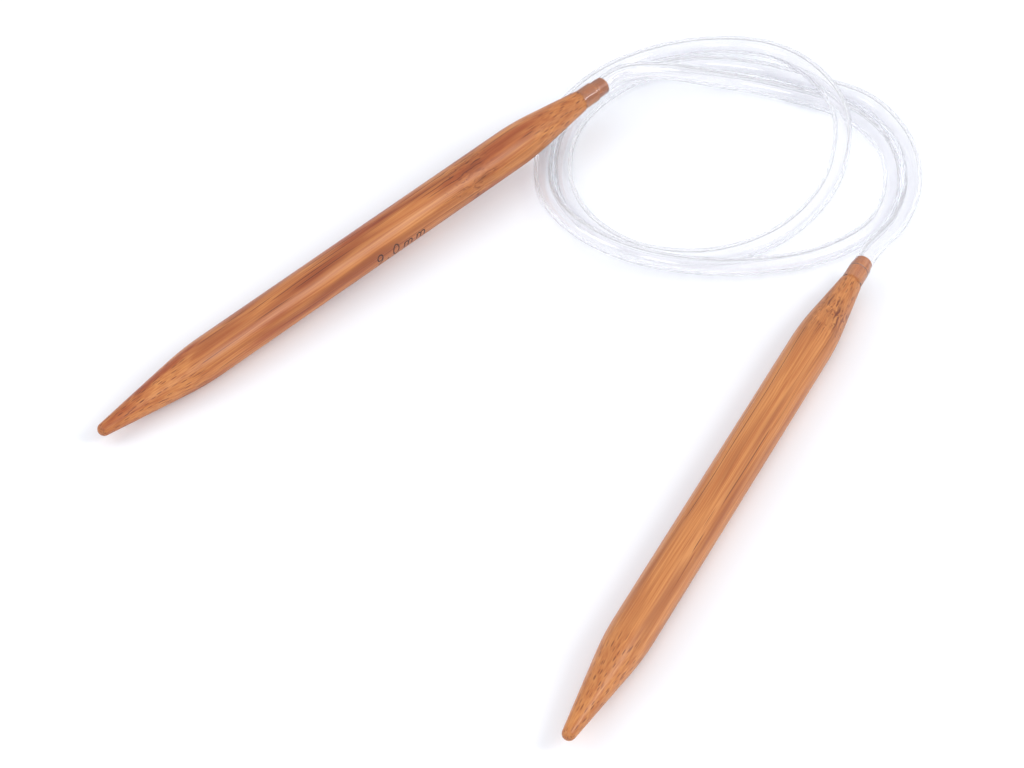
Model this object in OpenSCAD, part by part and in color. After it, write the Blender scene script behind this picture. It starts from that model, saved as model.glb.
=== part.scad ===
// Circular knitting needle: two turned bamboo tips joined by a clear plastic tube.
// The tube lies in loose turns on the surface Z = 0. Both tips point towards -Y,
// and the left tip's rear end rests on the tube.

/* [Tips] */
// Diameter of both tips, which is the needle's size
shaft_d = 9; // [7:0.5:10]
// Length of wood from the nose to the shoulder where the tube begins
tip_len = 137; // [120:1:150]
// Length from the nose to where the full diameter begins
point_len = 30; // [26:1:36]
// Diameter of the ball that rounds the nose
nose_d = 2.8; // [2:0.1:3.4]
// Length of the taper at the rear, from full diameter to the shoulder
rear_len = 22; // [18:1:26]
// Diameter of the shoulder that the tube butts against
shoulder_d = 4.7; // [4.6:0.1:5.4]
// Length over which each cone curves into the straight shaft
blend_len = 9; // [6:1:10]

/* [Spigots] */
// Diameter of the spigot's thick root
root_d = 3.2; // [2.8:0.1:3.4]
// Length of the thick root
root_len = 4.5; // [3:0.5:5]
// Diameter of the spigot's end
end_d = 2.3; // [1.8:0.1:2.3]
// Length of the spigot's end
end_len = 3.1; // [2:0.1:3.5]

/* [Tube] */
// Outside diameter of the tube where nothing stretches it
tube_d = 4; // [3.6:0.1:4]
// Bore of the tube where nothing stretches it
tube_bore = 2.4; // [2.4:0.1:2.6]
// Length of each tube end, from the shoulder to where the free tube begins
sleeve_len = 10; // [9.5:0.5:10]

/* [Lie] */
// Heading of the left tip's axis, from +X towards +Y
left_heading = 44.5; // [43:0.5:46]
// Heading of the right tip's axis, from +X towards +Y
right_heading = 63.8; // [62:0.1:65]
// Slope of the left tip, whose rear end rests on the tube
left_tilt = 2.1; // [2:0.1:2.4]

/* [Hidden] */
$fn = 96;
fit = 0.05;             // radial and end clearance between a spigot and its tube end
arc_steps = 10;         // straight pieces in each rounded corner of an outline
edge = 0.25;            // chamfer on the shoulder and on the spigot's end
stretch_len = 2;        // length over which a stretched tube end narrows to tube_d
tube_sides = 8;
steps_per_point = 2;    // tube rings for each route point

shaft_r = shaft_d / 2;
nose_r = nose_d / 2;
mouth_s = tip_len + sleeve_len;                       // nose to the end of the tube end
wall_area = tube_d * tube_d - tube_bore * tube_bore;  // stays the same when stretched

// Direction of a tip's axis, nose to rear
function axis_of(heading, tilt) =
  [cos(tilt) * cos(heading), cos(tilt) * sin(heading), sin(tilt)];
left_axis = axis_of(left_heading, left_tilt);
right_axis = axis_of(right_heading, 0);

// The mouths of the tube ends. The left tip's shaft touches the surface where its
// point begins; the right tip's shaft lies flat on it.
left_mouth = [24.8, 90.4, shaft_r + (mouth_s - point_len) * sin(left_tilt)];
right_mouth = [77.8, 38.8, shaft_r];

// The tube's way from the left tip to the right tip: round the coil clockwise two and
// a half times, over its own first turn at the far right, and out to the right tip.
route = [
  left_mouth,
  [34.5, 95.6, 6.8], [48, 96.6, 3.6], [62.5, 94.2, 2], [76, 87.5, 2],
  [83.5, 76.5, 2], [84.5, 63, 2], [79.5, 50, 2], [68.5, 41.5, 2],
  [55.5, 37.5, 2.5], [41.5, 36.2, 3.8], [28, 38.8, 4.8], [17, 47.5, 4],
  [10.5, 60, 2.6], [10, 74, 2], [14, 87.5, 2], [22.5, 99, 2],
  [34, 106.5, 2], [47.5, 109.5, 2.4], [60, 105.5, 4.4], [69, 95.5, 6.3],
  [74.5, 83, 5.4], [73, 68.5, 2.8], [67, 56, 2], [57.5, 46, 2],
  [44.5, 40.6, 2], [30.5, 42, 2], [20, 50, 2], [14.5, 62, 2],
  [14.5, 76, 2], [19.5, 88, 2.4], [29.5, 97.8, 2.8], [42, 103.4, 2],
  [55.5, 102.2, 2], [69, 97, 2], [81, 90.5, 2], [88, 78, 2],
  [89, 64, 2], [85, 50.5, 3.2],
  right_mouth + fit * right_axis
];

// Outside diameter of the tube once it is stretched to a wider bore
function stretched(bore) = sqrt(wall_area + bore * bore);

// ---- Outlines of the tips, as [radius, distance from the nose] ----

// Where the line that leaves the nose ball meets the shaft, if nothing were rounded
point_corner_s = point_len - blend_len / 2;
corner_reach = point_corner_s - nose_r;
point_angle = atan(shaft_r / corner_reach)
  - asin(nose_r / sqrt(corner_reach * corner_reach + shaft_r * shaft_r));

// The same corner at the rear taper
rear_start_s = tip_len - rear_len;
rear_corner_s = rear_start_s + blend_len / 2;
rear_angle = atan((shaft_r - shoulder_d / 2) / (tip_len - rear_corner_s));

// The corner between a cone and the shaft, rounded by a parabola over blend_len. The
// cone comes before the corner when rising is true, and after it when false.
function rounded_corner(corner_s, angle, rising) = [
  for (i = [0:arc_steps])
    let (u = i / arc_steps, along = (u - 0.5) * blend_len,
         drop = tan(angle) * blend_len / 2 * pow(rising ? 1 - u : u, 2))
    [shaft_r - drop, corner_s + along]
];

nose_outline = [
  for (i = [0:arc_steps])
    let (a = i / arc_steps * (90 - point_angle))
    [nose_r * sin(a), nose_r * (1 - cos(a))]
];

root_end_s = tip_len + root_len;
spigot_end_s = root_end_s + end_len;

tip_outline = concat(
  nose_outline,
  rounded_corner(point_corner_s, point_angle, true),
  rounded_corner(rear_corner_s, rear_angle, false),
  [
    [shoulder_d / 2 + edge * tan(rear_angle), tip_len - edge],
    [shoulder_d / 2 - edge, tip_len],
    [root_d / 2, tip_len],
    [root_d / 2, root_end_s - edge],
    [end_d / 2, root_end_s],
    [end_d / 2, spigot_end_s - edge],
    [end_d / 2 - edge, spigot_end_s],
    [0, spigot_end_s]
  ]
);

// ---- Outline of a tube end, stretched over the spigot's root ----

root_bore = root_d + 2 * fit;
tube_end_outline = [
  [root_bore / 2, tip_len + fit],
  [stretched(root_bore) / 2, tip_len + fit],
  [stretched(root_bore) / 2, root_end_s],
  [tube_d / 2, root_end_s + stretch_len],
  [tube_d / 2, mouth_s],
  [tube_bore / 2, mouth_s],
  [tube_bore / 2, root_end_s + fit],
  [root_bore / 2, root_end_s + fit]
];

// ---- The free tube ----

// Point at share u of the way from b to c on the smooth curve through a, b, c, d
function curve_point(a, b, c, d, u) =
  0.5 * (2 * b + (c - a) * u + (2 * a - 5 * b + 4 * c - d) * u * u
         + (3 * b - a - 3 * c + d) * u * u * u);

last = len(route) - 1;

// The route with one point added before and after it, so that the tube leaves each
// mouth along its tip's axis
led_route = concat(
  [route[1] - 2 * norm(route[1] - route[0]) * left_axis],
  route,
  [route[last - 1] - 2 * norm(route[last] - route[last - 1]) * right_axis]
);

spine = concat(
  [
    for (i = [1:last], k = [0:steps_per_point - 1])
      curve_point(led_route[i - 1], led_route[i], led_route[i + 1], led_route[i + 2],
                  k / steps_per_point)
  ],
  [route[last]]
);
rings = len(spine);

function unit(v) = v / norm(v);
function spine_dir(i) =
  i == 0 ? left_axis :
  i == rings - 1 ? -right_axis :
  unit(spine[i + 1] - spine[i - 1]);

// Ring of points round the spine, with one point straight below it
function ring(i) =
  let (dir = spine_dir(i), side = unit(cross(dir, [0, 0, 1])), up = cross(side, dir))
  [
    for (k = [0:tube_sides - 1])
      let (a = 360 * k / tube_sides)
      spine[i] + tube_d / 2 * (cos(a) * side + sin(a) * up)
  ];

tube_points = [for (i = [0:rings - 1]) each ring(i)];
tube_faces = concat(
  [[for (k = [0:tube_sides - 1]) k]],
  [
    for (i = [0:rings - 2], k = [0:tube_sides - 1])
      let (a = i * tube_sides, b = a + tube_sides, n = (k + 1) % tube_sides)
      [a + n, a + k, b + k, b + n]
  ],
  [[for (k = [tube_sides - 1:-1:0]) (rings - 1) * tube_sides + k]]
);

// ---- Placing: local +Z runs from the nose to the rear ----

module at_left_mouth() {
  translate(left_mouth) rotate([0, 90 - left_tilt, left_heading])
    translate([0, 0, -mouth_s]) children();
}

module at_right_mouth() {
  translate(right_mouth) rotate([0, 90, right_heading])
    translate([0, 0, -mouth_s]) children();
}

module tip_solid() {
  rotate_extrude() polygon(tip_outline);
}

module tube_end_solid() {
  rotate_extrude() polygon(tube_end_outline);
}

module left_tip() {
  color("sienna") at_left_mouth() tip_solid();
}

module right_tip() {
  color("sienna") at_right_mouth() tip_solid();
}

module left_tube_end() {
  color("lightcyan") at_left_mouth() tube_end_solid();
}

module right_tube_end() {
  color("lightcyan") at_right_mouth() tube_end_solid();
}

module tube() {
  color("lightcyan") polyhedron(tube_points, tube_faces);
}

left_tip();
right_tip();
left_tube_end();
right_tube_end();
tube();
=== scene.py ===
"""Circular knitting needle: two varnished bamboo tips joined by a coiled clear tube.

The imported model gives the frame, in metres with +Z up. Each tip is turned again here at a
fine resolution, with its fibres and its varnish, and the three tube nodes become one hollow
length of clear tube that lies along the same route.
"""

import logging
import math
from dataclasses import dataclass, field
from enum import Enum

import bpy
import numpy as np
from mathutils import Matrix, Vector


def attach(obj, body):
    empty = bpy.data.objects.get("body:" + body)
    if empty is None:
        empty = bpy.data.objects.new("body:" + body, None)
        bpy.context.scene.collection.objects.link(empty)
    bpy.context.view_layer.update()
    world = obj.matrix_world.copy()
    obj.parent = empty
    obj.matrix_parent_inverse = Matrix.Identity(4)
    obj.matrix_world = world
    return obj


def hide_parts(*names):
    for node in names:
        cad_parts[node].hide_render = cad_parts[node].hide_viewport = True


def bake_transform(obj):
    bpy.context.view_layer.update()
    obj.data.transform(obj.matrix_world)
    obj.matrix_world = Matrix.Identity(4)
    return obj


MM = 0.001
LOG = logging.getLogger("knitting_needle")

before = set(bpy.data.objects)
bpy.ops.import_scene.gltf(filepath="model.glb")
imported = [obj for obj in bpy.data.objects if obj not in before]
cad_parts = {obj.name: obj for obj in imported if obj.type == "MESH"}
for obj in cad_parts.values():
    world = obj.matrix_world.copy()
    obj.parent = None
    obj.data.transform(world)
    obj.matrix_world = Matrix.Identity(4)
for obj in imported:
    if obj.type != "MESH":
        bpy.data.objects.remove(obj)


# ---------------------------------------------------------------------------------------
# Nodes and colours
# ---------------------------------------------------------------------------------------


def linear(hex_colour: str) -> tuple[float, float, float, float]:
    """Turn an sRGB hex colour into the linear RGBA that a socket takes.

    Args:
        hex_colour: six hex digits after a hash sign.

    Returns:
        Linear red, green and blue, and an alpha of 1.
    """
    values = [int(hex_colour[i:i + 2], 16) / 255 for i in (1, 3, 5)]
    curve = [v / 12.92 if v <= 0.04045 else ((v + 0.055) / 1.055) ** 2.4 for v in values]
    return (*curve, 1.0)


def add(
    tree: bpy.types.NodeTree,
    kind: str,
    inputs: dict | None = None,
    **settings: object,
) -> bpy.types.Node:
    """Add a node with its settings, its fixed values and its links.

    Args:
        tree: the node tree that gets the node.
        kind: the node's type name, without its "ShaderNode" prefix.
        inputs: socket name or number to a value, or to the output socket that feeds it.
        **settings: the node's own properties.

    Returns:
        The new node.
    """
    node = tree.nodes.new("ShaderNode" + kind)
    for name, value in settings.items():
        setattr(node, name, value)
    for key, value in (inputs or {}).items():
        if isinstance(value, bpy.types.NodeSocket):
            tree.links.new(value, node.inputs[key])
        else:
            node.inputs[key].default_value = value
    return node


def new_material(name: str) -> tuple[bpy.types.Material, bpy.types.NodeTree]:
    """Make an empty node material.

    Args:
        name: the material's name.

    Returns:
        The material and its node tree, with no nodes in it.
    """
    material = bpy.data.materials.new(name)
    material.use_nodes = True
    material.node_tree.nodes.clear()
    return material, material.node_tree


# ---------------------------------------------------------------------------------------
# Surfaces
# ---------------------------------------------------------------------------------------


def grid_quads(rows: int, columns: int, rows_close: bool = False) -> np.ndarray:
    """List the quads of a grid of points whose columns close on themselves.

    Point (i, j) has the number i * columns + j. Each quad runs (i, j), (i + 1, j),
    (i + 1, j + 1), (i, j + 1), which faces outwards on a surface whose rows follow an axis
    and whose columns turn from the side of that axis towards its upper side.

    Args:
        rows: number of rows.
        columns: number of columns.
        rows_close: whether the last row also joins the first.

    Returns:
        An array of point numbers, four to a quad.
    """
    i = np.arange(rows if rows_close else rows - 1)[:, None]
    j = np.arange(columns)[None, :]
    next_i, next_j = (i + 1) % rows, (j + 1) % columns
    corners = [i * columns + j, next_i * columns + j, next_i * columns + next_j,
               i * columns + next_j]
    return np.stack(corners, axis=-1).reshape(-1, 4)


def make_piece(
    name: str,
    points: np.ndarray,
    faces: list[list[int]],
    material: bpy.types.Material,
    sharp_angle: float = 40.0,
) -> bpy.types.Object:
    """Make a smooth-shaded mesh object at the origin.

    Args:
        name: the piece's name.
        points: the points in the frame, in metres, one to a row.
        faces: the faces' point numbers.
        material: what the piece is made of.
        sharp_angle: edges that turn by more than this many degrees stay sharp.

    Returns:
        The new object.
    """
    mesh = bpy.data.meshes.new(name)
    mesh.from_pydata(points.tolist(), [], faces)
    mesh.polygons.foreach_set("use_smooth", np.ones(len(mesh.polygons), dtype=bool))
    mesh.set_sharp_from_angle(angle=math.radians(sharp_angle))
    mesh.materials.append(material)
    mesh.update()
    piece = bpy.data.objects.new(name, mesh)
    bpy.context.scene.collection.objects.link(piece)
    return piece


def store(piece: bpy.types.Object, name: str, kind: str, values: np.ndarray) -> None:
    """Store one value or vector for each point of a piece.

    Args:
        piece: the mesh object.
        name: the attribute's name, which its material reads.
        kind: FLOAT or FLOAT_VECTOR.
        values: an array with one row for each point.
    """
    attribute = piece.data.attributes.new(name, kind, "POINT")
    target = "vector" if kind == "FLOAT_VECTOR" else "value"
    attribute.data.foreach_set(target, np.ascontiguousarray(values, np.float32).ravel())


# ---------------------------------------------------------------------------------------
# Finishes
# ---------------------------------------------------------------------------------------


@dataclass(frozen=True)
class VarnishedBamboo:
    """Heat-browned moso bamboo, turned on a lathe and varnished.

    The fibres run along the tip. On the shaft they are long fine streaks. Where the cones
    cut through them their ends are short dark flecks, and at the knuckle they weave.
    Widths, lengths and spacings are in millimetres. Shares run from 0 to 1.
    """

    pale: str = "#CE8849"
    middle: str = "#B76C34"
    deep: str = "#934C20"
    bundle: str = "#5E2810"
    fleck: str = "#713215"
    toast: str = "#CF9F80"
    bundle_spacing: float = 0.8      # between the dark fibre bundles
    fleck_spacing: float = 0.46      # between the fibre ends that the cones cut
    knot_spacing: float = 0.8        # between the thick fibres at the knuckle
    pit_spacing: float = 1.1         # between the pits at the knuckle
    fibre: tuple[float, float] = (0.3, 22.0)     # width and length of a fine streak
    band: tuple[float, float] = (2.2, 48.0)      # the same of a broad dark band
    patch: tuple[float, float] = (1.6, 5.0)      # the same of a patch at the knuckle
    scorch: tuple[float, float] = (3.2, 26.0)    # the same of a browned patch
    knuckle_reach: float = 6.5       # along the tip, from the knuckle's middle
    band_share: float = 0.68         # how strongly each layer covers what lies under it
    band_on_cone: float = 0.45
    patch_share: float = 0.25
    bundle_share: float = 0.8
    fleck_share: float = 0.75
    knot_share: float = 0.8
    knot_on_shaft: float = 0.3
    nose_share: float = 0.12

    def make(self) -> bpy.types.Material:
        """Build the material.

        It reads three attributes: grain, the point in millimetres with the fibres along Z
        and the knuckle at Z = 0, cut, how steeply the surface cuts the fibres, and
        toasted, how far the cane was browned on the shaft, and on the spigot how much
        darker it is drawn towards its end.

        Returns:
            The material.
        """
        material, tree = new_material("varnished_bamboo")
        grain = add(tree, "Attribute", attribute_name="grain").outputs["Vector"]
        cut = add(tree, "Attribute", attribute_name="cut").outputs["Fac"]
        toasted = add(tree, "Attribute", attribute_name="toasted").outputs["Fac"]
        knuckle = self.knuckle(tree, grain)
        woven = self.wander(tree, grain, knuckle)

        fine = self.streaks(tree, woven, self.fibre, 3.0)
        broad = self.streaks(tree, woven, self.band, 2.0)
        patch = self.streaks(tree, grain, self.patch, 3.0)
        bundles = self.bundles(tree, woven, self.bundle_spacing, 0.14)
        flecks = self.bundles(tree, woven, self.fleck_spacing, 0.23)
        knots = self.bundles(tree, woven, self.knot_spacing, 0.38)

        pits = self.bundles(tree, grain, self.pit_spacing, 0.27, "3D")
        marks = add(tree, "Math", {0: self.scar(tree, woven), 1: pits}, operation="MAXIMUM")
        crossing = add(tree, "MapRange", {0: cut, 1: 0.0, 2: 1.0, 3: self.knot_on_shaft,
                                          4: 1.0})
        thick = add(tree, "Math", {0: knots, 1: crossing.outputs[0]}, operation="MULTIPLY")
        knotted = add(tree, "Math", {0: thick.outputs[0], 1: marks.outputs[0]},
                      operation="MAXIMUM").outputs[0]
        wood = self.colour(tree, fine, broad, patch, bundles, flecks, knotted, cut, knuckle)

        uneven = self.streaks(tree, woven, self.scorch, 2.0)
        patchy = add(tree, "MapRange", {0: uneven, 1: 0.4, 2: 0.62, 3: 0.0, 4: 1.0})
        darkened = add(tree, "Math", {0: patchy.outputs[0], 1: toasted},
                      operation="MULTIPLY")
        colour = add(tree, "Mix", {0: darkened.outputs[0], 6: wood, 7: linear(self.toast)},
                     data_type="RGBA", blend_type="MULTIPLY").outputs[2]

        rough = add(tree, "MapRange", {0: fine, 3: 0.38, 4: 0.54})
        relief = add(tree, "Math", {0: fine, 1: flecks}, operation="SUBTRACT")
        bump = add(tree, "Bump", {"Strength": 0.4, "Distance": 0.00006,
                                  "Height": relief.outputs[0]})
        shader = add(tree, "BsdfPrincipled", {
            "Base Color": colour,
            "Roughness": rough.outputs[0],
            "IOR": 1.46,
            "Coat Weight": 0.25,
            "Coat Roughness": 0.3,
            "Coat IOR": 1.5,
            "Normal": bump.outputs[0],
        })
        add(tree, "OutputMaterial", {"Surface": shader.outputs[0]})
        return material

    def knuckle(
        self, tree: bpy.types.NodeTree, grain: bpy.types.NodeSocket
    ) -> bpy.types.NodeSocket:
        """Strength of the knuckle: exp(-(z / reach) squared).

        Args:
            tree: the material's nodes.
            grain: the point in millimetres.

        Returns:
            A socket from 0 to 1.
        """
        z = add(tree, "SeparateXYZ", {0: grain}).outputs[2]
        ratio = add(tree, "Math", {0: z, 1: self.knuckle_reach}, operation="DIVIDE")
        square = add(tree, "Math", {0: ratio.outputs[0], 1: ratio.outputs[0]},
                     operation="MULTIPLY")
        minus = add(tree, "Math", {0: square.outputs[0], 1: -1.0}, operation="MULTIPLY")
        return add(tree, "Math", {0: minus.outputs[0]}, operation="EXPONENT").outputs[0]

    def wander(
        self,
        tree: bpy.types.NodeTree,
        grain: bpy.types.NodeSocket,
        knuckle: bpy.types.NodeSocket,
    ) -> bpy.types.NodeSocket:
        """Let the fibres wander sideways, gently along the shaft and strongly at the knuckle.

        Args:
            tree: the material's nodes.
            grain: the point in millimetres.
            knuckle: strength of the knuckle.

        Returns:
            The point moved by its fibre's wandering.
        """
        gentle = add(tree, "Mapping", {0: grain, 3: (0.1, 0.1, 0.025)})
        slow = add(tree, "TexNoise", {"Vector": gentle.outputs[0], "Scale": 1.0,
                                      "Detail": 1.0})
        tight = add(tree, "Mapping", {0: grain, 3: (0.8, 0.8, 0.28)})
        quick = add(tree, "TexNoise", {"Vector": tight.outputs[0], "Scale": 1.0,
                                       "Detail": 2.0})
        slow_move = add(tree, "VectorMath", {0: slow.outputs["Color"], 1: (0.5, 0.5, 0.5)},
                        operation="SUBTRACT")
        slow_mm = add(tree, "VectorMath", {0: slow_move.outputs[0], 1: (1.6, 1.6, 0.0)},
                      operation="MULTIPLY")
        quick_move = add(tree, "VectorMath", {0: quick.outputs["Color"],
                                              1: (0.5, 0.5, 0.5)}, operation="SUBTRACT")
        quick_mm = add(tree, "VectorMath", {0: quick_move.outputs[0], 1: (1.2, 1.2, 4.0)},
                       operation="MULTIPLY")
        at_knuckle = add(tree, "VectorMath", {0: quick_mm.outputs[0], "Scale": knuckle},
                         operation="SCALE")
        moved = add(tree, "VectorMath", {0: grain, 1: slow_mm.outputs[0]},
                    operation="ADD")
        return add(tree, "VectorMath", {0: moved.outputs[0], 1: at_knuckle.outputs[0]},
                   operation="ADD").outputs[0]

    def scar(
        self, tree: bpy.types.NodeTree, woven: bpy.types.NodeSocket
    ) -> bpy.types.NodeSocket:
        """The wavering ring that the cane's inner wall leaves at the knuckle.

        It is 1 within 0.15 mm of woven z = 0 and fades out at 0.45 mm, and gaps break it.

        Args:
            tree: the material's nodes.
            woven: the point in millimetres, moved by its fibre's wandering.

        Returns:
            A socket from 0 to 1.
        """
        z = add(tree, "SeparateXYZ", {0: woven}).outputs[2]
        away = add(tree, "Math", {0: z}, operation="ABSOLUTE").outputs[0]
        ring = add(tree, "MapRange", {0: away, 1: 0.15, 2: 0.45, 3: 1.0, 4: 0.0})
        noise = add(tree, "TexNoise", {"Vector": woven, "Scale": 0.7, "Detail": 1.0})
        gaps = add(tree, "MapRange", {0: noise.outputs["Fac"], 1: 0.45, 2: 0.6, 3: 0.0,
                                      4: 1.0})
        return add(tree, "Math", {0: ring.outputs[0], 1: gaps.outputs[0]},
                   operation="MULTIPLY").outputs[0]

    def streaks(
        self,
        tree: bpy.types.NodeTree,
        place: bpy.types.NodeSocket,
        size: tuple[float, float],
        detail: float,
    ) -> bpy.types.NodeSocket:
        """Noise drawn out along the fibres.

        Args:
            tree: the material's nodes.
            place: the point in millimetres.
            size: width and length of a streak in millimetres.
            detail: how many finer layers the noise has.

        Returns:
            A socket that is mostly from 0.3 to 0.7.
        """
        width, length = size
        drawn = add(tree, "Mapping", {0: place, 3: (1 / width, 1 / width, 1 / length)})
        return add(tree, "TexNoise", {"Vector": drawn.outputs[0], "Scale": 1.0,
                                      "Detail": detail}).outputs["Fac"]

    def bundles(
        self,
        tree: bpy.types.NodeTree,
        place: bpy.types.NodeSocket,
        spacing: float,
        radius: float,
        dimensions: str = "2D",
    ) -> bpy.types.NodeSocket:
        """Dark fibre bundles along Z, one to a cell, each as dark as its cell says.

        In three dimensions they are round pits instead.

        Args:
            tree: the material's nodes.
            place: the point in millimetres.
            spacing: width of a cell in millimetres.
            radius: a bundle's radius, in cell widths.
            dimensions: 2D for bundles, 3D for pits.

        Returns:
            A socket from 0 outside to 1 in the darkest bundles.
        """
        cell = add(tree, "TexVoronoi", {"Vector": place, "Scale": 1 / spacing},
                   voronoi_dimensions=dimensions)
        inside = add(tree, "MapRange", {0: cell.outputs["Distance"], 1: radius,
                                        2: radius * 0.6, 3: 0.0, 4: 1.0})
        lot = add(tree, "SeparateColor", {0: cell.outputs["Color"]}).outputs[0]
        dark = add(tree, "MapRange", {0: lot, 1: 0.3, 2: 0.7, 3: 0.0, 4: 1.0})
        return add(tree, "Math", {0: inside.outputs[0], 1: dark.outputs[0]},
                   operation="MULTIPLY").outputs[0]

    def colour(
        self,
        tree: bpy.types.NodeTree,
        fine: bpy.types.NodeSocket,
        broad: bpy.types.NodeSocket,
        patch: bpy.types.NodeSocket,
        bundles: bpy.types.NodeSocket,
        flecks: bpy.types.NodeSocket,
        knots: bpy.types.NodeSocket,
        cut: bpy.types.NodeSocket,
        knuckle: bpy.types.NodeSocket,
    ) -> bpy.types.NodeSocket:
        """Mix the wood's browns.

        Args:
            tree: the material's nodes.
            fine: fine streaks.
            broad: broad bands.
            patch: small patches, which darken the knuckle.
            bundles: dark fibre bundles.
            flecks: cut fibre ends.
            knots: thick fibres, pits and the scar, which show at the knuckle.
            cut: how steeply the surface cuts the fibres.
            knuckle: strength of the knuckle.

        Returns:
            The colour socket.
        """
        def mix(share: bpy.types.NodeSocket, low: object, high: object) -> bpy.types.NodeSocket:
            """Mix two colours by a share from 0 to 1."""
            return add(tree, "Mix", {0: share, 6: low, 7: high}, data_type="RGBA").outputs[2]

        def stretch(value: bpy.types.NodeSocket, low: float, high: float,
                    top: float) -> bpy.types.NodeSocket:
            """Stretch values from low to high onto 0 to top."""
            return add(tree, "MapRange", {0: value, 1: low, 2: high, 3: 0.0,
                                          4: top}).outputs[0]

        def times(a: bpy.types.NodeSocket, b: object) -> bpy.types.NodeSocket:
            """Multiply two values."""
            return add(tree, "Math", {0: a, 1: b}, operation="MULTIPLY").outputs[0]

        body = mix(stretch(fine, 0.36, 0.64, 1.0), linear(self.pale), linear(self.middle))
        calmer = add(tree, "MapRange", {0: cut, 1: 0.0, 2: 1.0, 3: 1.0,
                                        4: self.band_on_cone}).outputs[0]
        band = times(stretch(broad, 0.45, 0.68, self.band_share), calmer)
        banded = mix(band, body, linear(self.deep))
        mottled = mix(times(stretch(patch, 0.45, 0.62, self.patch_share), knuckle), banded,
                      linear(self.bundle))
        lined = mix(times(bundles, self.bundle_share), mottled, linear(self.bundle))
        ends = add(tree, "Math", {0: cut, 1: knuckle}, operation="ADD", use_clamp=True)
        flecked = mix(times(times(flecks, ends.outputs[0]), self.fleck_share), lined,
                      linear(self.fleck))
        knotty = mix(times(times(knots, knuckle), self.knot_share), flecked,
                     linear(self.fleck))
        return mix(stretch(cut, 2.5, 6.0, self.nose_share), knotty, linear(self.bundle))


@dataclass(frozen=True)
class BurntMark:
    """A size number burnt into the wood: a matt, nearly black brown with scorched edges."""

    char: str = "#3A1C10"
    scorch: str = "#6B3519"

    def make(self) -> bpy.types.Material:
        """Build the material: char that thins to scorched wood in small specks.

        Returns:
            The material.
        """
        material, tree = new_material("burnt_mark")
        place = add(tree, "TexCoord").outputs["Object"]
        specks = add(tree, "TexNoise", {"Vector": place, "Scale": 1 / (0.35 * MM),
                                        "Detail": 3.0}).outputs["Fac"]
        share = add(tree, "MapRange", {0: specks, 1: 0.5, 2: 0.7, 3: 0.0, 4: 1.0})
        colour = add(tree, "Mix", {0: share.outputs[0], 6: linear(self.char),
                                   7: linear(self.scorch)}, data_type="RGBA")
        shader = add(tree, "BsdfPrincipled", {
            "Base Color": colour.outputs[2],
            "Roughness": 0.6,
            "IOR": 1.5,
            "Coat Weight": 0.3,
            "Coat Roughness": 0.25,
        })
        add(tree, "OutputMaterial", {"Surface": shader.outputs[0]})
        return material


@dataclass(frozen=True)
class ClearVinyl:
    """Clear plasticised PVC tube, extruded.

    It is colourless and glossy, and faint lines along it from the die blur its highlights.
    """

    tint: str = "#FBFBFC"
    shadow: str = "#ECECEE"
    die_line_width: float = 0.5      # mm

    def make(self) -> bpy.types.Material:
        """Build the material, which lets light through to the floor as clear plastic does.

        It reads two attributes: run, the point in millimetres on a tube laid straight, and
        gripped, which is 1 where the wall is stretched thin and clear over a spigot.

        Returns:
            The material.
        """
        material, tree = new_material("clear_vinyl")
        run = add(tree, "Attribute", attribute_name="run").outputs["Vector"]
        along = add(tree, "Mapping", {0: run, 3: (1 / self.die_line_width,
                                                  1 / self.die_line_width, 1 / 60)})
        lines = add(tree, "TexNoise", {"Vector": along.outputs[0], "Scale": 1.0,
                                       "Detail": 2.0}).outputs["Fac"]
        gripped = add(tree, "Attribute", attribute_name="gripped").outputs["Fac"]
        clarity = add(tree, "MapRange", {0: gripped, 3: 0.92, 4: 0.98}).outputs[0]
        veil = add(tree, "Mix", {0: gripped, 6: linear(self.shadow), 7: linear("#FFFFFF")},
                   data_type="RGBA").outputs[2]
        rough = add(tree, "MapRange", {0: lines, 3: 0.05, 4: 0.12})
        shader = add(tree, "BsdfPrincipled", {
            "Base Color": linear(self.tint),
            "Roughness": rough.outputs[0],
            "IOR": 1.53,
            "Transmission Weight": clarity,
        })
        light_path = add(tree, "LightPath")
        passing = add(tree, "BsdfTransparent", {"Color": veil})
        mixed = add(tree, "MixShader", {0: light_path.outputs["Is Shadow Ray"],
                                        1: shader.outputs[0], 2: passing.outputs[0]})
        add(tree, "OutputMaterial", {"Surface": mixed.outputs[0]})
        return material


@dataclass(frozen=True)
class WhiteBoard:
    """The matt white board that the needle lies on."""

    white: str = "#F7F9FB"

    def make(self) -> bpy.types.Material:
        """Build the material.

        Returns:
            The material.
        """
        material, tree = new_material("white_board")
        shader = add(tree, "BsdfPrincipled", {
            "Base Color": linear(self.white),
            "Roughness": 0.9,
            "Specular IOR Level": 0.1,
        })
        add(tree, "OutputMaterial", {"Surface": shader.outputs[0]})
        return material


# ---------------------------------------------------------------------------------------
# Where the tips lie
# ---------------------------------------------------------------------------------------


class Side(Enum):
    """Which of the needle's two tips."""

    LEFT = "left"
    RIGHT = "right"


SHAFT_R = 4.5
TIP_LEN = 137.0
POINT_LEN = 30.0
SLEEVE_LEN = 10.0
MOUTH_S = TIP_LEN + SLEEVE_LEN
HEADING = {Side.LEFT: 44.5, Side.RIGHT: 63.8}
TILT = {Side.LEFT: 2.1, Side.RIGHT: 0.0}
LEFT_RISE = (MOUTH_S - POINT_LEN) * math.sin(math.radians(TILT[Side.LEFT]))
MOUTH = {
    Side.LEFT: (24.8, 90.4, SHAFT_R + LEFT_RISE),
    Side.RIGHT: (77.8, 38.8, SHAFT_R),
}


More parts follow.
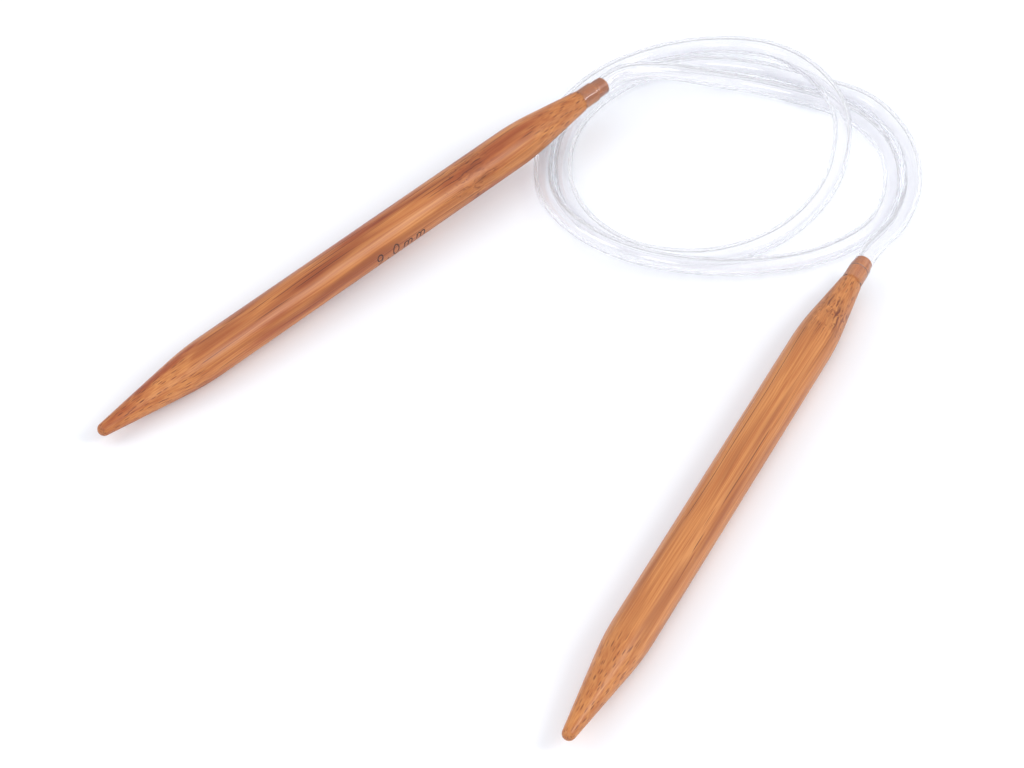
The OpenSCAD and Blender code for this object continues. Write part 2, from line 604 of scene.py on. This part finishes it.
@dataclass(frozen=True)
class Lie:
    """How a tip lies: its axis runs from the nose to the mouth of its tube end.

    Distances are in millimetres. A place on the tip is (side, up, s): to the right of the
    axis, above it, and along it from the nose.
    """

    side: Side

    @property
    def axis(self) -> np.ndarray:
        """Unit vector from the nose to the rear."""
        heading, tilt = math.radians(HEADING[self.side]), math.radians(TILT[self.side])
        level = np.array([math.cos(heading), math.sin(heading), 0.0])
        return math.cos(tilt) * level + math.sin(tilt) * np.array([0.0, 0.0, 1.0])

    def place(self, local: np.ndarray) -> np.ndarray:
        """Place points of the tip in the frame.

        Point = mouth + (s - mouth_s) * axis + side * right + up * above, where right is
        axis x vertical and above is right x axis.

        Args:
            local: rows of (side, up, s) in millimetres.

        Returns:
            Rows of (x, y, z) in metres.
        """
        right = np.cross(self.axis, [0.0, 0.0, 1.0])
        right /= np.linalg.norm(right)
        above = np.cross(right, self.axis)
        from_mouth = (local[:, 2:3] - MOUTH_S) * self.axis
        across = local[:, 0:1] * right + local[:, 1:2] * above
        return (np.array(MOUTH[self.side]) + from_mouth + across) * MM


# ---------------------------------------------------------------------------------------
# The tips
# ---------------------------------------------------------------------------------------


@dataclass
class BambooTip:
    """One turned bamboo tip with its spigot. Sizes are in millimetres."""

    side: Side
    body: str
    node: str
    knuckle_s: float                 # where the bamboo's knuckle lies, from the nose
    billet_shift: float              # which part of the cane the tip was cut from
    toasted: float                   # how far the cane's two faces were browned, 0 to 1
    rind_angle: float = 120.0        # degrees from the right flank to the cane's rind
    side_toast: float = 0.55         # browning between the faces, as a share of theirs
    spigot_darkening: tuple[float, float] = (0.15, 0.8)    # how much darker the spigot is drawn at its root and at its end
    cone_slope: float = math.tan(0.11)    # the slope that counts as a cut of 1
    steepest_cut: float = 6.0
    nose_r: float = 1.4
    rear_len: float = 22.0
    shoulder_r: float = 2.35
    blend_len: float = 9.0
    root_r: float = 1.6
    root_len: float = 4.5
    end_r: float = 1.15
    end_len: float = 3.1
    edge: float = 0.25
    columns: int = 128
    row_step: float = 0.8

    def outline(self) -> np.ndarray:
        """The turned outline, from just behind the nose to just before the spigot's end.

        A ball rounds the nose. The line that leaves the ball at a tangent meets the shaft
        at a corner, and a parabola rounds that corner and the one at the rear taper.

        Returns:
            Rows of (s, radius).
        """
        corner = POINT_LEN - self.blend_len / 2
        reach = corner - self.nose_r
        rise = math.atan(SHAFT_R / reach) - math.asin(self.nose_r / math.hypot(reach, SHAFT_R))
        angles = np.linspace(0.0, math.pi / 2 - rise, 15)[1:]
        nose = np.stack([self.nose_r * (1 - np.cos(angles)), self.nose_r * np.sin(angles)], 1)

        rear_corner = TIP_LEN - self.rear_len + self.blend_len / 2
        fall = math.atan((SHAFT_R - self.shoulder_r) / (TIP_LEN - rear_corner))
        root_end = TIP_LEN + self.root_len
        spigot_end = root_end + self.end_len
        rear = np.array([
            [TIP_LEN - self.edge, self.shoulder_r + self.edge * math.tan(fall)],
            [TIP_LEN, self.shoulder_r - self.edge],
            [TIP_LEN, self.root_r],
            [root_end - self.edge, self.root_r],
            [root_end, self.end_r],
            [spigot_end - self.edge, self.end_r],
            [spigot_end, self.end_r - self.edge],
        ])
        knots = np.concatenate([
            nose,
            self.rounded_corner(corner, rise, rising=True),
            self.rounded_corner(rear_corner, fall, rising=False),
            rear,
        ])
        return self.subdivided(knots)

    def rounded_corner(self, corner: float, angle: float, rising: bool) -> np.ndarray:
        """A corner between a cone and the shaft, rounded by a parabola.

        Radius = shaft - tan(angle) * blend / 2 * v squared, where v falls from 1 to 0
        across the blend when the cone comes first.

        Args:
            corner: distance of the corner from the nose.
            angle: slope of the cone, in radians.
            rising: whether the cone comes before the corner.

        Returns:
            Rows of (s, radius).
        """
        u = np.linspace(0.0, 1.0, 17)
        v = 1 - u if rising else u
        radius = SHAFT_R - math.tan(angle) * self.blend_len / 2 * v**2
        return np.stack([corner + (u - 0.5) * self.blend_len, radius], 1)

    def subdivided(self, knots: np.ndarray) -> np.ndarray:
        """Add points to an outline so that none lie further apart than row_step.

        Args:
            knots: rows of (s, radius).

        Returns:
            The outline with points added along its straight stretches.
        """
        length = np.concatenate([[0.0], np.cumsum(np.linalg.norm(np.diff(knots, axis=0),
                                                                  axis=1))])
        extra = np.arange(0.0, length[-1], self.row_step)
        nearest = np.abs(extra[:, None] - length[None, :]).min(axis=1)
        stations = np.sort(np.concatenate([length, extra[nearest > self.row_step / 3]]))
        return np.stack([np.interp(stations, length, knots[:, k]) for k in (0, 1)], 1)

    def build(self, bamboo: bpy.types.Material) -> bpy.types.Object:
        """Turn the tip: each outline point goes round the axis, and a point closes each end.

        Args:
            bamboo: the tip's material.

        Returns:
            The tip's mesh object.
        """
        outline = self.outline()
        angles = np.arange(self.columns) * 2 * math.pi / self.columns
        s, radius = outline[:, 0], outline[:, 1]
        rings = np.stack([
            radius[:, None] * np.cos(angles),
            radius[:, None] * np.sin(angles),
            np.repeat(s[:, None], self.columns, axis=1),
        ], axis=-1).reshape(-1, 3)
        spigot_end = TIP_LEN + self.root_len + self.end_len
        local = np.concatenate([rings, [[0.0, 0.0, 0.0], [0.0, 0.0, spigot_end]]])
        rows, nose, rear = len(outline), len(rings), len(rings) + 1
        j = np.arange(self.columns)
        next_j = (j + 1) % self.columns
        last = (rows - 1) * self.columns
        faces = grid_quads(rows, self.columns).tolist()
        faces += np.stack([np.full_like(j, nose), j, next_j], 1).tolist()
        faces += np.stack([last + j, np.full_like(j, rear), last + next_j], 1).tolist()

        name = f"{self.side.value}_tip_wood"
        piece = make_piece(name, Lie(self.side).place(local), faces, bamboo)
        store(piece, "grain", "FLOAT_VECTOR",
              local + [self.billet_shift, -self.billet_shift, -self.knuckle_s])
        slope = np.abs(np.gradient(radius, s, edge_order=1, axis=0))
        slope = np.nan_to_num(slope, nan=1.0, posinf=1.0)
        steep = np.clip(slope / self.cone_slope, 0.0, self.steepest_cut)
        at_ends = [self.steepest_cut, 1.0]
        store(piece, "cut", "FLOAT",
              np.concatenate([np.repeat(steep, self.columns), at_ends]))
        from_rind = np.arctan2(local[:, 1], local[:, 0]) - math.radians(self.rind_angle)
        facing = self.side_toast + (1 - self.side_toast) * np.abs(np.cos(from_rind))
        on_shaft = self.toasted * facing
        # The spigot is drawn darker from its root towards its end.
        on_spigot = np.interp(local[:, 2], [TIP_LEN, spigot_end], self.spigot_darkening)
        darkened = np.where(local[:, 2] > TIP_LEN + self.edge, on_spigot, on_shaft)
        store(piece, "toasted", "FLOAT", darkened)
        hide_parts(self.node)
        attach(piece, self.body)
        return piece


@dataclass
class SizeMark:
    """The size in millimetres, burnt into the left tip's flank in plain strokes.

    Letters are drawn on a sheet wrapped round the shaft: across runs from the nose to the
    rear, and high runs from the flank towards the top. Sizes are in millimetres.
    """

    start_s: float = 72.5
    base_angle: float = -22.0        # degrees above the shaft's right flank
    height: float = 2.7
    stroke: float = 0.32
    proud: float = 0.015
    depth: float = 0.05
    advance: dict[str, float] = field(default_factory=lambda: {
        "9": 2.9, ".": 1.6, "0": 3.1, "m": 3.6})

    def loop(self, centre: tuple[float, float], half: tuple[float, float],
             start: float = 0.0, sweep: float = 360.0) -> np.ndarray:
        """Points along an ellipse: centre + half * (cos a, sin a).

        Args:
            centre: its middle, in shares of the letter height.
            half: its half width and half height, in the same shares.
            start: the first angle in degrees.
            sweep: how far it turns in degrees.

        Returns:
            Rows of (across, high) in the same shares.
        """
        a = np.radians(start + np.linspace(0.0, sweep, 33))
        return np.stack([centre[0] + half[0] * np.cos(a), centre[1] + half[1] * np.sin(a)], 1)

    def line(self, start: tuple[float, float], end: tuple[float, float]) -> np.ndarray:
        """Points along a straight stroke from start to end."""
        return np.linspace(start, end, 9)

    def strokes(self, letter: str) -> list[np.ndarray]:
        """The strokes of one letter, in shares of the letter height.

        Args:
            letter: 9, 0, m or the point.

        Returns:
            One array of (across, high) for each stroke.
        """
        if letter == "9":
            return [
                self.loop((0.3, 0.72), (0.26, 0.28)),
                self.loop((0.06, 0.62), (0.5, 0.62), 10.0, -90.0),
            ]
        if letter == "0":
            return [self.loop((0.32, 0.5), (0.28, 0.5))]
        if letter == ".":
            return [self.loop((0.1, 0.05), (0.03, 0.03))]
        return [
            self.line((0.06, 0.0), (0.06, 0.62)),
            self.loop((0.26, 0.4), (0.2, 0.22), 180.0, -180.0),
            self.line((0.46, 0.4), (0.46, 0.0)),
            self.loop((0.66, 0.4), (0.2, 0.22), 180.0, -180.0),
            self.line((0.86, 0.4), (0.86, 0.0)),
        ]

    def ribbon(self, path: np.ndarray) -> tuple[np.ndarray, list[list[int]]]:
        """Carry a flat rectangle along a stroke and wrap it round the shaft.

        Each path point gets four corners, half a stroke to each side, above and below the
        wood. Angle = base + high / shaft radius, s = start + across.

        Args:
            path: rows of (across, high) in millimetres.

        Returns:
            The points as (side, up, s) and the faces of a closed ribbon.
        """
        along = np.gradient(path, axis=0)
        along /= np.linalg.norm(along, axis=1, keepdims=True)
        normal = np.stack([-along[:, 1], along[:, 0]], 1)
        left, right = path + normal * self.stroke / 2, path - normal * self.stroke / 2
        corners = np.stack([left, right, right, left], 1)
        radius = SHAFT_R + np.array([self.proud, self.proud, -self.depth, -self.depth])
        angle = math.radians(self.base_angle) + corners[..., 1] / SHAFT_R
        points = np.stack([radius * np.cos(angle), radius * np.sin(angle),
                           self.start_s + corners[..., 0]], -1).reshape(-1, 3)
        faces = grid_quads(len(path), 4)[:, ::-1].tolist()
        last = 4 * (len(path) - 1)
        faces += [[0, 1, 2, 3], [last + 3, last + 2, last + 1, last]]
        return points, faces

    def build(self, char: bpy.types.Material) -> bpy.types.Object:
        """Burn the number into the left tip.

        Args:
            char: the mark's material.

        Returns:
            The mark's mesh object.
        """
        across, points, faces, count = 0.0, [], [], 0
        for letter in "9.0mm":
            for stroke in self.strokes(letter):
                ribbon, quads = self.ribbon(stroke * self.height + [across, 0.0])
                points.append(ribbon)
                faces += [[count + number for number in quad] for quad in quads]
                count += len(ribbon)
            across += self.advance[letter]
        place = Lie(Side.LEFT).place(np.concatenate(points))
        piece = make_piece("size_mark", place, faces, char, sharp_angle=50.0)
        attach(piece, "left_needle")
        return piece


# ---------------------------------------------------------------------------------------
# The tube
# ---------------------------------------------------------------------------------------

# The free tube's way between the two mouths, in millimetres, as in the part's source
ROUTE = [
    (34.5, 95.6, 6.8), (48, 96.6, 3.6), (62.5, 94.2, 2), (76, 87.5, 2),
    (83.5, 76.5, 2), (84.5, 63, 2), (79.5, 50, 2), (68.5, 41.5, 2),
    (55.5, 37.5, 2.5), (41.5, 36.2, 3.8), (28, 38.8, 4.8), (17, 47.5, 4),
    (10.5, 60, 2.6), (10, 74, 2), (14, 87.5, 2), (22.5, 99, 2),
    (34, 106.5, 2), (47.5, 109.5, 2.4), (60, 105.5, 4.4), (69, 95.5, 6.3),
    (74.5, 83, 5.4), (73, 68.5, 2.8), (67, 56, 2), (57.5, 46, 2),
    (44.5, 40.6, 2), (30.5, 42, 2), (20, 50, 2), (14.5, 62, 2),
    (14.5, 76, 2), (19.5, 88, 2.4), (29.5, 97.8, 2.8), (42, 103.4, 2),
    (55.5, 102.2, 2), (69, 97, 2), (81, 90.5, 2), (88, 78, 2),
    (89, 64, 2), (85, 50.5, 3.2),
]


@dataclass
class ClearTube:
    """The whole clear tube, from shoulder to shoulder. Sizes are in millimetres."""

    outer_r: float = 2.0
    bore_r: float = 1.2
    root_r: float = 1.6
    end_r: float = 1.15
    root_len: float = 4.5
    spigot_len: float = 7.6
    contact: float = 0.02            # how far the wall is pressed onto the spigot
    seat: float = -0.01              # from the shoulder to the tube's end
    fade: float = 2.0                # over which the stretch fades behind the root
    grip_fade: float = 1.5           # over which the wall clouds behind the spigot
    steps: int = 15                  # stations for each route point
    columns: int = 64

    def centreline(self) -> np.ndarray:
        """The tube's middle, from the left shoulder to the right shoulder.

        A straight stretch lies along each tip. Between the mouths it is the smooth curve
        0.5 * (2b + (c - a)u + (2a - 5b + 4c - d)u^2 + (3b - a - 3c + d)u^3) through each
        four neighbours a, b, c, d of the route, which leaves each mouth along its tip.

        Returns:
            Rows of (x, y, z).
        """
        left, right = Lie(Side.LEFT).axis, Lie(Side.RIGHT).axis
        way = np.array([MOUTH[Side.LEFT], *ROUTE, MOUTH[Side.RIGHT]], float)
        first = way[1] - 2 * np.linalg.norm(way[1] - way[0]) * left
        last = way[-2] - 2 * np.linalg.norm(way[-1] - way[-2]) * right
        led = np.concatenate([[first], way, [last]])
        a, b, c, d = (led[k:len(led) - 3 + k, None, :] for k in range(4))
        u = (np.arange(self.steps) / self.steps)[None, :, None]
        free = 0.5 * (2 * b + (c - a) * u + (2 * a - 5 * b + 4 * c - d) * u**2
                      + (3 * b - a - 3 * c + d) * u**3)
        straight = np.arange(self.seat, SLEEVE_LEN, 0.25)[:, None]
        into_left = way[0] - left * (SLEEVE_LEN - straight)
        into_right = (way[-1] - right * straight)[:-1]
        return np.concatenate([into_left, free.reshape(-1, 3), [way[-1]], into_right])

    def outer_radius(self, depth: np.ndarray) -> np.ndarray:
        """Outside radius at a depth from the nearer shoulder.

        The wall keeps its area: radius^2 = outer^2 - bore^2 + stretched bore^2, and the
        stretch fades behind the spigot's root.

        Args:
            depth: distances from the shoulder.

        Returns:
            The radii.
        """
        over_root = np.clip((self.root_len + self.fade - depth) / self.fade, 0.0, 1.0)
        eased = over_root**2 * (3 - 2 * over_root)
        bore = self.bore_r + (self.root_r - self.bore_r) * eased
        return np.sqrt(self.outer_r**2 - self.bore_r**2 + bore**2)

    def inner_radius(self, depth: np.ndarray) -> np.ndarray:
        """Bore radius at a depth from the nearer shoulder, pressed onto the spigot.

        Args:
            depth: distances from the shoulder.

        Returns:
            The radii.
        """
        knots = [0.0, self.root_len - 0.3, self.root_len - 0.05, self.spigot_len - 0.2,
                 self.spigot_len + 0.6]
        radii = [self.root_r - self.contact, self.root_r - self.contact,
                 self.end_r - self.contact, self.end_r - self.contact, self.bore_r]
        return np.interp(depth, knots, radii)

    def build(self, vinyl: bpy.types.Material) -> bpy.types.Object:
        """Carry the wall along the centreline: out along the outside, back along the bore.

        A ring point is centre + radius * (cos a * right + sin a * above), where right is
        direction x vertical and above is right x direction.

        Args:
            vinyl: the tube's material.

        Returns:
            The tube's mesh object.
        """
        centre = self.centreline()
        direction = np.gradient(centre, axis=0)
        direction /= np.linalg.norm(direction, axis=1, keepdims=True)
        right = np.cross(direction, [0.0, 0.0, 1.0])
        right /= np.linalg.norm(right, axis=1, keepdims=True)
        above = np.cross(right, direction)
        steps = np.linalg.norm(np.diff(centre, axis=0), axis=1)
        length = np.concatenate([[0.0], np.cumsum(steps)])
        depth = np.minimum(length, length[-1] - length)

        there_and_back = np.concatenate([np.arange(len(centre)),
                                         np.arange(len(centre))[::-1]])
        radius = np.concatenate([self.outer_radius(depth), self.inner_radius(depth)[::-1]])
        angles = np.arange(self.columns) * 2 * math.pi / self.columns
        cos, sin = np.cos(angles)[None, :, None], np.sin(angles)[None, :, None]
        across = cos * right[there_and_back, None] + sin * above[there_and_back, None]
        rings = centre[there_and_back, None] + radius[:, None, None] * across
        faces = grid_quads(len(radius), self.columns, rows_close=True).tolist()
        piece = make_piece("clear_tube", rings.reshape(-1, 3) * MM, faces, vinyl)
        self.mark_run(piece, radius, angles, length[there_and_back])
        behind = self.spigot_len + self.grip_fade - depth[there_and_back]
        gripped = np.clip(behind / self.grip_fade, 0.0, 1.0)
        store(piece, "gripped", "FLOAT", np.repeat(gripped, self.columns))

        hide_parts("tube", "left_tube_end", "right_tube_end")
        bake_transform(piece)
        return piece

    def mark_run(self, piece: bpy.types.Object, radius: np.ndarray, angles: np.ndarray,
                 length: np.ndarray) -> None:
        """Store where each point lies on the tube laid straight, for the material.

        Args:
            piece: the tube.
            radius: each ring's radius.
            angles: each column's angle.
            length: each ring's distance along the tube.
        """
        run = np.stack([
            radius[:, None] * np.cos(angles),
            radius[:, None] * np.sin(angles),
            np.repeat(length[:, None], len(angles), axis=1),
        ], -1).reshape(-1, 3)
        store(piece, "run", "FLOAT_VECTOR", run)


# ---------------------------------------------------------------------------------------
# The studio
# ---------------------------------------------------------------------------------------


@dataclass
class SoftBox:
    """A square soft light. Places are in metres."""

    name: str
    place: tuple[float, float, float]
    width: float
    watts: float
    colour: str

    def build(self, target: np.ndarray) -> bpy.types.Object:
        """Hang the light and turn it towards a point.

        Args:
            target: the point that it lights.

        Returns:
            The light's object.
        """
        lamp = bpy.data.lights.new(self.name, "AREA")
        lamp.shape = "SQUARE"
        lamp.size = self.width
        lamp.energy = self.watts
        lamp.color = linear(self.colour)[:3]
        light = bpy.data.objects.new(self.name, lamp)
        bpy.context.scene.collection.objects.link(light)
        light.location = self.place
        aim = Vector(target) - light.location
        light.rotation_euler = aim.to_track_quat("-Z", "Y").to_euler()
        return light


@dataclass
class Studio:
    """The camera, the white board, the soft boxes and the white surroundings."""

    target: tuple[float, float, float] = (0.0029, 0.0047, 0.0)
    distance: float = 0.787
    elevation: float = 44.9          # degrees above the horizon
    lens: float = 135.35             # mm on a 36 mm sensor
    board_width: float = 6.0
    horizon: str = "#D4D5D9"
    zenith: str = "#F4F5FB"
    room_strength: float = 0.95
    boxes: tuple[SoftBox, ...] = (
        SoftBox("right_box", (0.72, -0.18, 0.63), 0.36, 2.9, "#FFFFFF"),
        SoftBox("left_box", (-0.8, -0.1, 0.6), 0.5, 2.0, "#FFFFFF"),
        SoftBox("front_box", (-0.2, -0.85, 0.65), 0.5, 1.8, "#FFFFFF"),
    )

    def camera(self) -> bpy.types.Object:
        """Place the camera in front of the needle, looking down at it.

        Returns:
            The camera's object.
        """
        lens = bpy.data.cameras.new("camera")
        lens.lens = self.lens
        lens.sensor_width = 36.0
        lens.clip_start, lens.clip_end = 0.01, 20.0
        camera = bpy.data.objects.new("camera", lens)
        bpy.context.scene.collection.objects.link(camera)
        tilt = math.radians(self.elevation)
        camera.location = (
            self.target[0],
            self.target[1] - self.distance * math.cos(tilt),
            self.target[2] + self.distance * math.sin(tilt),
        )
        camera.rotation_euler = (math.pi / 2 - tilt, 0.0, 0.0)
        bpy.context.scene.camera = camera
        return camera

    def board(self) -> bpy.types.Object:
        """Lay the white board under the needle.

        Returns:
            The board's object.
        """
        half = self.board_width / 2
        corners = np.array([[-half, -half, 0.0], [half, -half, 0.0], [half, half, 0.0],
                            [-half, half, 0.0]])
        piece = make_piece("white_board", corners, [[0, 1, 2, 3]], WhiteBoard().make())
        return piece

    def surroundings(self) -> None:
        """Surround the needle with a white room that darkens a little near the horizon."""
        world = bpy.data.worlds.new("white_room")
        bpy.context.scene.world = world
        world.use_nodes = True
        tree = world.node_tree
        tree.nodes.clear()
        view = add(tree, "TexCoord").outputs["Generated"]
        height = add(tree, "SeparateXYZ", {0: view}).outputs[2]
        share = add(tree, "MapRange", {0: height, 1: 0.0, 2: 0.9, 3: 0.0, 4: 1.0})
        colour = add(tree, "Mix", {0: share.outputs[0], 6: linear(self.horizon),
                                   7: linear(self.zenith)}, data_type="RGBA")
        light = add(tree, "Background", {0: colour.outputs[2], 1: self.room_strength})
        add(tree, "OutputWorld", {0: light.outputs[0]})

    def build(self) -> None:
        """Set up everything but the camera, which is made first."""
        self.board()
        self.surroundings()
        for box in self.boxes:
            box.build(np.array(self.target))
        bpy.context.scene.view_settings.view_transform = "Standard"


# ---------------------------------------------------------------------------------------


def main() -> None:
    """Build the needle and its studio in order."""
    logging.basicConfig(level=logging.INFO, format="%(message)s")
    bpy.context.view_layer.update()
    studio = Studio()
    studio.camera()
    pieces = [ClearTube().build(ClearVinyl().make())]
    LOG.info("tube: %s", pieces[-1].name)

    bamboo = VarnishedBamboo().make()
    tips = (
        BambooTip(Side.LEFT, "left_needle", "left_tip", knuckle_s=102.0,
                  billet_shift=31.0, toasted=1.0),
        BambooTip(Side.RIGHT, "right_needle", "right_tip", knuckle_s=124.0,
                  billet_shift=97.0, toasted=0.0),
    )
    for tip in tips:
        pieces.append(tip.build(bamboo))
        LOG.info("tip: %s", pieces[-1].name)
    pieces.append(SizeMark().build(BurntMark().make()))
    LOG.info("mark: %s", pieces[-1].name)
    studio.build()
    LOG.info("studio: %d soft boxes, %d pieces", len(studio.boxes), len(pieces))


if __name__ == "__main__":
    main()
